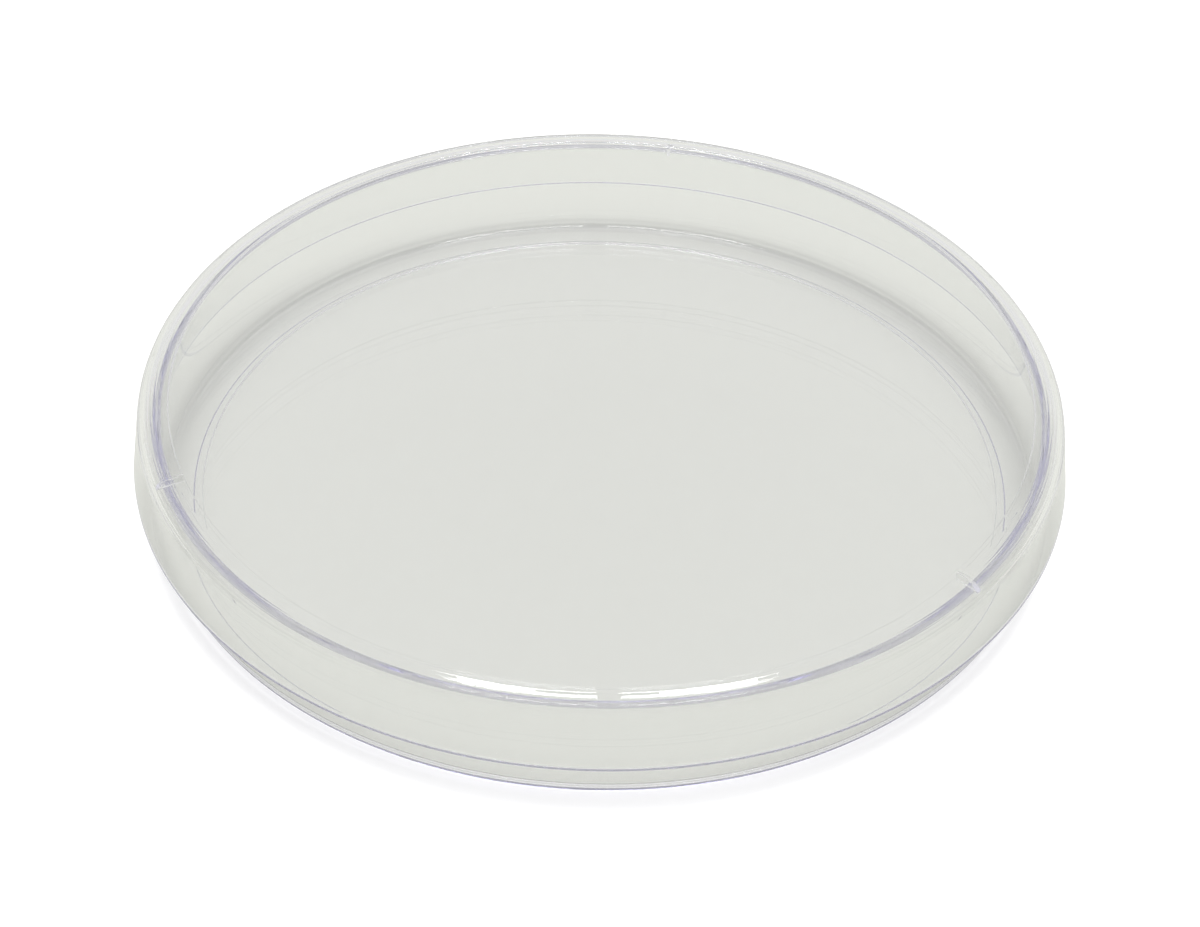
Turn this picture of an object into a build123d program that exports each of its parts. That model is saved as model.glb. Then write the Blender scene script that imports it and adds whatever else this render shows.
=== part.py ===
"""Petri dish with a loose vented lid, both moulded in clear polystyrene.

Z is the axis of the dish, and the origin is the centre of the flat underside that it stands on.
The lid's skirt drops over the wall of the base, and three ribs inside its shoulder hold it off
the rim so that air can pass. The middle of the base is stepped down to stand in the lid's recess
when dishes are stacked.
"""

import os

from build123d import *

# Driving dimensions, in millimetres
overall_height = 13.5
plastic = 0.9  # wall thickness of both mouldings

base_height = 11.6
base_radius = 45.2  # outside of the wall
foot_radius = 41.7  # the stepped-down middle that the dish stands on
foot_height = 0.2
foot_rounding = 0.09
base_corner = 1.2  # rounding between the underside and the wall
floor_fillet = 0.3  # between the floor and the wall, inside
rim_rounding = 0.3

lid_radius = 47.5  # outside of the skirt at its lower edge, the widest place
shoulder_radius = 46.5  # outside of the skirt where it turns into the shoulder
skirt_bottom = 5.45
skirt_rounding = 0.3
shoulder_rounding = 2.4
shoulder_inner_rounding = 1.5

stack_radius = 43.5  # the lid's recessed middle, which another dish stands in
stack_depth = 0.2

vent_ribs = 3
vent_angle = 81.2  # of the first rib, anticlockwise from +X
rib_inner_radius = 43.4
rib_outer_radius = 46.0
rib_inner_width = 0.3
rib_outer_width = 0.7
rest_clearance = 0.02  # between the ribs and the rim

# Derived heights and radii
plate_top = overall_height - stack_depth
plate_underside = plate_top - plastic
rib_bottom = base_height + rest_clearance
step_inner_radius = foot_radius - plastic

with BuildPart() as base_dish:
    with BuildSketch(Plane.XZ):
        with BuildLine():
            Polyline(
                (0, 0),
                (foot_radius, 0),
                (foot_radius, foot_height),
                (base_radius, foot_height),
                (base_radius, base_height),
                (base_radius - plastic, base_height),
                (base_radius - plastic, foot_height + plastic),
                (step_inner_radius, foot_height + plastic),
                (step_inner_radius, plastic),
                (0, plastic),
                close=True,
            )
        make_face()
    revolve(axis=Axis.Z)

    rings = base_dish.edges().filter_by(GeomType.CIRCLE).group_by(Axis.Z)
    foot_ring, underside_rings, floor_ring, step_rings, rim_rings = rings
    step_ring, wall_ring = step_rings.sort_by(SortBy.RADIUS)
    corner_ring = underside_rings.sort_by(SortBy.RADIUS)[-1]
    fillet(rim_rings, radius=rim_rounding)
    fillet(wall_ring, radius=floor_fillet)
    fillet(corner_ring, radius=base_corner)
    fillet(foot_ring + [step_ring], radius=foot_rounding)

with BuildPart() as lid:
    with BuildSketch(Plane.XZ):
        with BuildLine():
            Polyline(
                (0, plate_top),
                (stack_radius, plate_top),
                (stack_radius, overall_height),
                (shoulder_radius, overall_height),
                (lid_radius, skirt_bottom),
                (lid_radius - plastic, skirt_bottom),
                (shoulder_radius - plastic, plate_underside),
                (0, plate_underside),
                close=True,
            )
        make_face()
    revolve(axis=Axis.Z)

    rings = lid.edges().filter_by(GeomType.CIRCLE).group_by(Axis.Z)
    skirt_rings, underside_ring, stack_foot_ring, top_rings = rings
    stack_lip_ring, shoulder_ring = top_rings.sort_by(SortBy.RADIUS)
    fillet(shoulder_ring, radius=shoulder_rounding)
    fillet(underside_ring, radius=shoulder_inner_rounding)
    fillet(skirt_rings, radius=skirt_rounding)

    # The vent ribs: short radial wedges, wider towards the skirt
    rib_half_length = (rib_outer_radius - rib_inner_radius) / 2
    with BuildSketch(Plane.XY.offset(rib_bottom)):
        with PolarLocations(rib_inner_radius + rib_half_length, vent_ribs, start_angle=vent_angle):
            Polygon(
                (-rib_half_length, -rib_inner_width / 2),
                (rib_half_length, -rib_outer_width / 2),
                (rib_half_length, rib_outer_width / 2),
                (-rib_half_length, rib_inner_width / 2),
                align=None,
            )
    extrude(amount=plate_underside + plastic / 2 - rib_bottom)

base_dish.part.label = "base_dish"
lid.part.label = "lid"

os.makedirs("parts", exist_ok=True)
for piece in (base_dish.part, lid.part):
    export_step(piece, f"parts/{piece.label}.step")
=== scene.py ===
"""Looks of a clear polystyrene petri dish with its vented lid on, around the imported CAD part.

Both mouldings are turned from finely rounded cross-sections, so that light bends and runs along their walls
as it does in thin clear plastic. The lid has its three vent ribs as solid plastic, joined to its underside.
"""

import math

import bmesh
import bpy
from mathutils import Matrix, Quaternion, Vector


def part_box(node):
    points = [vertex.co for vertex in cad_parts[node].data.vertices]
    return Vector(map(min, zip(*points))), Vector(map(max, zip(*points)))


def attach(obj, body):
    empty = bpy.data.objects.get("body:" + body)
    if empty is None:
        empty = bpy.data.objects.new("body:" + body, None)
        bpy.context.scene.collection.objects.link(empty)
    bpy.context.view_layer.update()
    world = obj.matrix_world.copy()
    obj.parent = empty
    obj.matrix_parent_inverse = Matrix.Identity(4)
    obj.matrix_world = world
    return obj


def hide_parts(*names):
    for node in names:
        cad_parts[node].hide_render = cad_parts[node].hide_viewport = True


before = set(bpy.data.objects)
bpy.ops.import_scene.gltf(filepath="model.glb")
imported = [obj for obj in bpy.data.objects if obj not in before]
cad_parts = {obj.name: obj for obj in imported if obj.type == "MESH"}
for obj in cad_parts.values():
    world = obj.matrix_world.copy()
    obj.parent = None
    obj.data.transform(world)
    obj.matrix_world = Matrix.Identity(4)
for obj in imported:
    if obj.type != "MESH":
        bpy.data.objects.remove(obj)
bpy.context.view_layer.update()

mm = 0.001

# The size of the dish, in metres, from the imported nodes
base_low, base_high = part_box("base_dish")
lid_low, lid_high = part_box("lid")
base_radius = base_high.y
base_height = base_high.z
lid_radius = lid_high.y
lid_top = lid_high.z
skirt_bottom = lid_low.z

# The details of the two mouldings, the same as in the CAD
wall = 0.9 * mm
rim_rounding = 0.3 * mm
foot_radius = 41.7 * mm
foot_height = 0.2 * mm
foot_rounding = 0.09 * mm
base_inner_corner = 0.3 * mm
base_outer_corner = 1.2 * mm

skirt_draft = 1.0 * mm
skirt_rounding = 0.3 * mm
shoulder_rounding = 2.4 * mm
shoulder_inner_rounding = 1.5 * mm
recess_radius = 43.5 * mm
recess_depth = 0.2 * mm
recess_rounding = 0.08 * mm
plate_underside = lid_top - recess_depth - wall

vent_ribs = 3
vent_angle = math.radians(81.2)
rib_inner_radius = 43.4 * mm
rib_outer_radius = 46.0 * mm
rib_inner_width = 0.3 * mm
rib_outer_width = 0.7 * mm
rib_bottom = base_height + 0.02 * mm
rib_rounding = 0.06 * mm

# How finely the mouldings are cut into faces
turned_segments = 360
rounding_steps = 8
rib_rounding_steps = 2
crisp_edge = math.radians(40)


def rounded(corners):
    """The points of a closed cross-section, from its corners (radius, height, rounding)."""
    points = []
    for index, (radius, height, rounding) in enumerate(corners):
        corner = Vector((radius, height))
        if rounding == 0:
            points.append(corner)
            continue
        to_last = (Vector(corners[index - 1][:2]) - corner).normalized()
        to_next = (Vector(corners[(index + 1) % len(corners)][:2]) - corner).normalized()
        half_angle = to_last.angle(to_next) / 2
        centre = corner + (to_last + to_next).normalized() * rounding / math.sin(half_angle)
        start = corner + to_last * rounding / math.tan(half_angle) - centre
        end = corner + to_next * rounding / math.tan(half_angle) - centre
        turn = start.angle_signed(end)
        for step in range(rounding_steps + 1):
            spoke = start.copy()
            spoke.rotate(Matrix.Rotation(-turn * step / rounding_steps, 2))
            points.append(centre + spoke)
    return points


def with_flats_held(points):
    """The same points, with one more near each end of a long straight, which keeps its shading flat."""
    long_straight = 0.4 * mm
    hold = 0.04 * mm
    held = []
    for start, end in zip(points, points[1:]):
        held.append(start)
        along = end - start
        if along.length > long_straight:
            held.append(start + along.normalized() * hold)
            held.append(end - along.normalized() * hold)
    return held + [points[-1]]


def turned(name, corners):
    """A solid of revolution about Z from a closed cross-section that starts and ends on the axis."""
    bm = bmesh.new()
    rings = []
    for radius, height in with_flats_held(rounded(corners)):
        count = 1 if radius == 0 else turned_segments
        angles = [2 * math.pi * k / turned_segments for k in range(count)]
        rings.append(
            [bm.verts.new((radius * math.cos(a), radius * math.sin(a), height)) for a in angles]
        )
    for lower, upper in zip(rings, rings[1:]):
        for k in range(turned_segments):
            following = (k + 1) % turned_segments
            if len(lower) == 1:
                bm.faces.new((lower[0], upper[k], upper[following]))
            elif len(upper) == 1:
                bm.faces.new((lower[k], upper[0], lower[following]))
            else:
                bm.faces.new((lower[k], upper[k], upper[following], lower[following]))
    bmesh.ops.recalc_face_normals(bm, faces=bm.faces)
    return as_object(name, bm)


def as_object(name, bm):
    """A scene object from a finished bmesh."""
    mesh = bpy.data.meshes.new(name)
    bm.to_mesh(mesh)
    bm.free()
    made = bpy.data.objects.new(name, mesh)
    bpy.context.scene.collection.objects.link(made)
    return made


def shade_smooth(piece):
    """Smooth shading that keeps the crisp edges crisp."""
    for face in piece.data.polygons:
        face.use_smooth = True
    piece.data.set_sharp_from_angle(angle=crisp_edge)


def base_moulding():
    """The dish: a floor stepped down in the middle, and an upright wall with a rounded foot and rim."""
    inner_radius = base_radius - wall
    step_radius = foot_radius - wall
    corners = [
        (0, wall, 0),
        (step_radius, wall, foot_rounding),
        (step_radius, foot_height + wall, foot_rounding),
        (inner_radius, foot_height + wall, base_inner_corner),
        (inner_radius, base_height, rim_rounding),
        (base_radius, base_height, rim_rounding),
        (base_radius, foot_height, base_outer_corner),
        (foot_radius, foot_height, foot_rounding),
        (foot_radius, 0, foot_rounding),
        (0, 0, 0),
    ]
    return turned("base_moulding", corners)


def lid_moulding():
    """The lid: a recessed plate in a raised rim, a soft shoulder, and a skirt that flares by its draft."""
    shoulder_radius = lid_radius - skirt_draft
    corners = [
        (0, lid_top - recess_depth, 0),
        (recess_radius, lid_top - recess_depth, recess_rounding),
        (recess_radius, lid_top, recess_rounding),
        (shoulder_radius, lid_top, shoulder_rounding),
        (lid_radius, skirt_bottom, skirt_rounding),
        (lid_radius - wall, skirt_bottom, skirt_rounding),
        (shoulder_radius - wall, plate_underside, shoulder_inner_rounding),
        (0, plate_underside, 0),
    ]
    lid = turned("lid_moulding", corners)
    ribs = vent_rib_wedges()
    joining = lid.modifiers.new("ribs", "BOOLEAN")
    joining.operation = "UNION"
    joining.solver = "EXACT"
    joining.object = ribs
    with_ribs = lid.evaluated_get(bpy.context.evaluated_depsgraph_get())
    lid.data = bpy.data.meshes.new_from_object(with_ribs)
    lid.modifiers.clear()
    bpy.data.objects.remove(ribs)
    return lid


def vent_rib_wedges():
    """The vent ribs: short upright wedges inside the shoulder, wider towards the skirt."""
    bm = bmesh.new()
    rib_top = plate_underside + wall / 2
    outline = (
        (rib_inner_radius, -rib_inner_width / 2),
        (rib_outer_radius, -rib_outer_width / 2),
        (rib_outer_radius, rib_outer_width / 2),
        (rib_inner_radius, rib_inner_width / 2),
    )
    for rib in range(vent_ribs):
        turn = Matrix.Rotation(vent_angle + 2 * math.pi * rib / vent_ribs, 4, "Z")
        bottom = [bm.verts.new(turn @ Vector((x, y, rib_bottom))) for x, y in outline]
        top = [bm.verts.new(turn @ Vector((x, y, rib_top))) for x, y in outline]
        bm.faces.new(bottom)
        bm.faces.new(top)
        for k in range(len(outline)):
            following = (k + 1) % len(outline)
            bm.faces.new((bottom[k], bottom[following], top[following], top[k]))
    bmesh.ops.bevel(
        bm, geom=bm.edges, offset=rib_rounding, segments=rib_rounding_steps, affect="EDGES"
    )
    bmesh.ops.recalc_face_normals(bm, faces=bm.faces)
    return as_object("vent_rib_wedges", bm)


def feed(material, node, inputs):
    """Set a value, or link another node's output, on each of these inputs of a shader node."""
    for socket, value in inputs.items():
        if isinstance(value, bpy.types.NodeSocket):
            material.node_tree.links.new(value, node.inputs[socket])
        else:
            node.inputs[socket].default_value = value


def add_node(material, kind, inputs=None, operation=None):
    """A new shader node in the material, with these inputs."""
    node = material.node_tree.nodes.new("ShaderNode" + kind)
    if operation:
        node.operation = operation
    feed(material, node, inputs or {})
    return node


def noise(material, inputs):
    """A noise texture that is fixed to the object."""
    position = add_node(material, "TexCoord")
    texture = add_node(material, "TexNoise", {"Vector": position.outputs["Object"], **inputs})
    return texture.outputs["Fac"]


def map_range(material, value, low, high, to_low, to_high):
    """The value, mapped from the range low to high onto the range to_low to to_high."""
    inputs = {
        "Value": value,
        "From Min": low,
        "From Max": high,
        "To Min": to_low,
        "To Max": to_high,
    }
    return add_node(material, "MapRange", inputs).outputs["Result"]


def combined(material, operation, first, second):
    """The result of a Math node."""
    return add_node(material, "Math", {0: first, 1: second}, operation).outputs["Value"]


def clear_polystyrene():
    """Clear plastic with a faint violet body colour, moulding ripple and light scuffs."""
    material = bpy.data.materials.new("clear_polystyrene")
    material.use_nodes = True
    material.node_tree.nodes.clear()

    scuffs = noise(material, {"Scale": 420.0, "Detail": 5.0})
    flow = noise(material, {"Scale": 90.0, "Detail": 2.0})
    ripple = add_node(material, "Bump", {"Height": flow, "Strength": 0.06, "Distance": 0.03 * mm})
    plastic = add_node(material, "BsdfPrincipled", {
        "Base Color": (0.985, 0.988, 0.98, 1.0),
        "Transmission Weight": 1.0,
        "IOR": 1.59,
        "Roughness": map_range(material, scuffs, 0.45, 0.8, 0.0, 0.02),
        "Normal": ripple.outputs["Normal"],
    })

    # Light for the table passes straight through the plastic, dimmed where it grazes a wall, and so does
    # light that has been reflected inside the walls so often that it would else stay trapped
    longest_way_inside = 16.5
    rays = add_node(material, "LightPath").outputs
    light_rays = combined(material, "MAXIMUM", rays["Is Shadow Ray"], rays["Is Diffuse Ray"])
    trapped = combined(material, "GREATER_THAN", rays["Ray Depth"], longest_way_inside)
    grazing = add_node(material, "LayerWeight").outputs["Facing"]
    dimming = map_range(material, grazing, 0.4, 1.0, 0.99, 0.3)
    pass_light = add_node(material, "BsdfTransparent", {"Color": dimming})
    surface = add_node(material, "MixShader", {
        "Fac": combined(material, "MAXIMUM", light_rays, trapped),
        1: plastic.outputs["BSDF"],
        2: pass_light.outputs["BSDF"],
    })

    body_colour = add_node(material, "VolumeAbsorption", {
        "Color": (0.3, 0.25, 0.85, 1.0),
        "Density": 8.0,
    })
    add_node(material, "OutputMaterial", {
        "Surface": surface.outputs["Shader"],
        "Volume": body_colour.outputs["Volume"],
    })
    return material


def table_top():
    """A table far wider than the view: white where it is seen directly, and painted pale grey, a painted
    shade, wherever it is seen through the plastic or in its reflections.
    """
    half_side = 3.0
    just_below = -0.02 * mm
    bm = bmesh.new()
    corners = ((-1, -1), (1, -1), (1, 1), (-1, 1))
    bm.faces.new([bm.verts.new((x * half_side, y * half_side, just_below)) for x, y in corners])
    table = as_object("table_top", bm)

    material = bpy.data.materials.new("white_table_with_painted_shade")
    material.use_nodes = True
    # Painted shade: every ray but the camera's sees the table pale grey. It therefore shows darker through
    # and in the plastic, standing in for the light the dish holds back and the shade it casts.
    white_or_painted_shade = add_node(material, "MixRGB", {
        "Fac": add_node(material, "LightPath").outputs["Is Camera Ray"],
        "Color1": (0.532, 0.537, 0.502, 1.0),
        "Color2": (0.98, 0.98, 0.98, 1.0),
    })
    grain = map_range(material, noise(material, {"Scale": 600.0}), 0.0, 1.0, 0.99, 1.01)
    grained = add_node(material, "VectorMath", {0: white_or_painted_shade.outputs["Color"], 1: grain}, "MULTIPLY")
    feed(material, material.node_tree.nodes["Principled BSDF"], {
        "Base Color": grained.outputs["Vector"],
        "Roughness": 0.9,
        "Specular IOR Level": 0.0,
    })
    table.data.materials.append(material)


def studio_light():
    """Two large softboxes overhead, side by side and a little to the right, in a pale room."""
    height = 1.5
    middle = 0.035
    half_spacing = 0.24
    for side in (-1, 1):
        lamp = bpy.data.lights.new("softbox", "AREA")
        lamp.shape = "RECTANGLE"
        lamp.size = 0.35
        lamp.size_y = 0.42
        lamp.energy = 9.5
        softbox = bpy.data.objects.new("softbox", lamp)
        bpy.context.scene.collection.objects.link(softbox)
        softbox.location = (middle + side * half_spacing, 0, height)
        softbox.rotation_mode = "QUATERNION"
        softbox.rotation_quaternion = softbox.location.to_track_quat("Z", "Y")
    room = bpy.data.worlds.new("room")
    room.use_nodes = True
    background = room.node_tree.nodes["Background"]
    background.inputs["Color"].default_value = (1.0, 1.0, 1.0, 1.0)
    background.inputs["Strength"].default_value = 0.8
    bpy.context.scene.world = room


def studio_camera():
    """The camera, which looks down at the front of the dish with a slight roll."""
    elevation = math.radians(38.06)
    roll = math.radians(1.37)
    distance = 312.8 * mm
    shoulder_level = Vector((0, 0, 12.47 * mm))
    dish_left_of_aim = math.tan(math.radians(0.960))
    dish_above_aim = math.tan(math.radians(2.177))

    lens = bpy.data.cameras.new("camera")
    lens.sensor_width = 36.0
    lens.lens = 92.8
    lens.shift_x = -0.0457
    lens.shift_y = 0.0364
    lens.clip_start = 0.01
    lens.clip_end = 50.0
    camera = bpy.data.objects.new("camera", lens)
    bpy.context.scene.collection.objects.link(camera)

    towards_camera = Vector((0, -math.cos(elevation), math.sin(elevation)))
    level = towards_camera.to_track_quat("Z", "Y")
    rolled = level @ Quaternion((0, 0, 1), roll)
    dish_seen_at = Vector((-dish_left_of_aim, dish_above_aim, -1))
    off_centre = Vector((0, 0, -1)).rotation_difference(dish_seen_at)
    camera.location = shoulder_level + towards_camera * distance
    camera.rotation_mode = "QUATERNION"
    camera.rotation_quaternion = rolled @ off_centre.inverted()
    bpy.context.scene.camera = camera


studio_camera()
studio_light()
table_top()

plastic = clear_polystyrene()
base = base_moulding()
lid = lid_moulding()
for piece, body in ((base, "base_dish"), (lid, "lid")):
    shade_smooth(piece)
    piece.data.materials.append(plastic)
    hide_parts(body)
    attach(piece, body)

# Light makes many reflections inside thin clear walls, and its path must not be cut short there
light_path_length = 64
scene = bpy.context.scene
scene.view_settings.view_transform = "Standard"
scene.cycles.max_bounces = light_path_length
scene.cycles.glossy_bounces = light_path_length
scene.cycles.transmission_bounces = light_path_length
scene.cycles.transparent_max_bounces = light_path_length
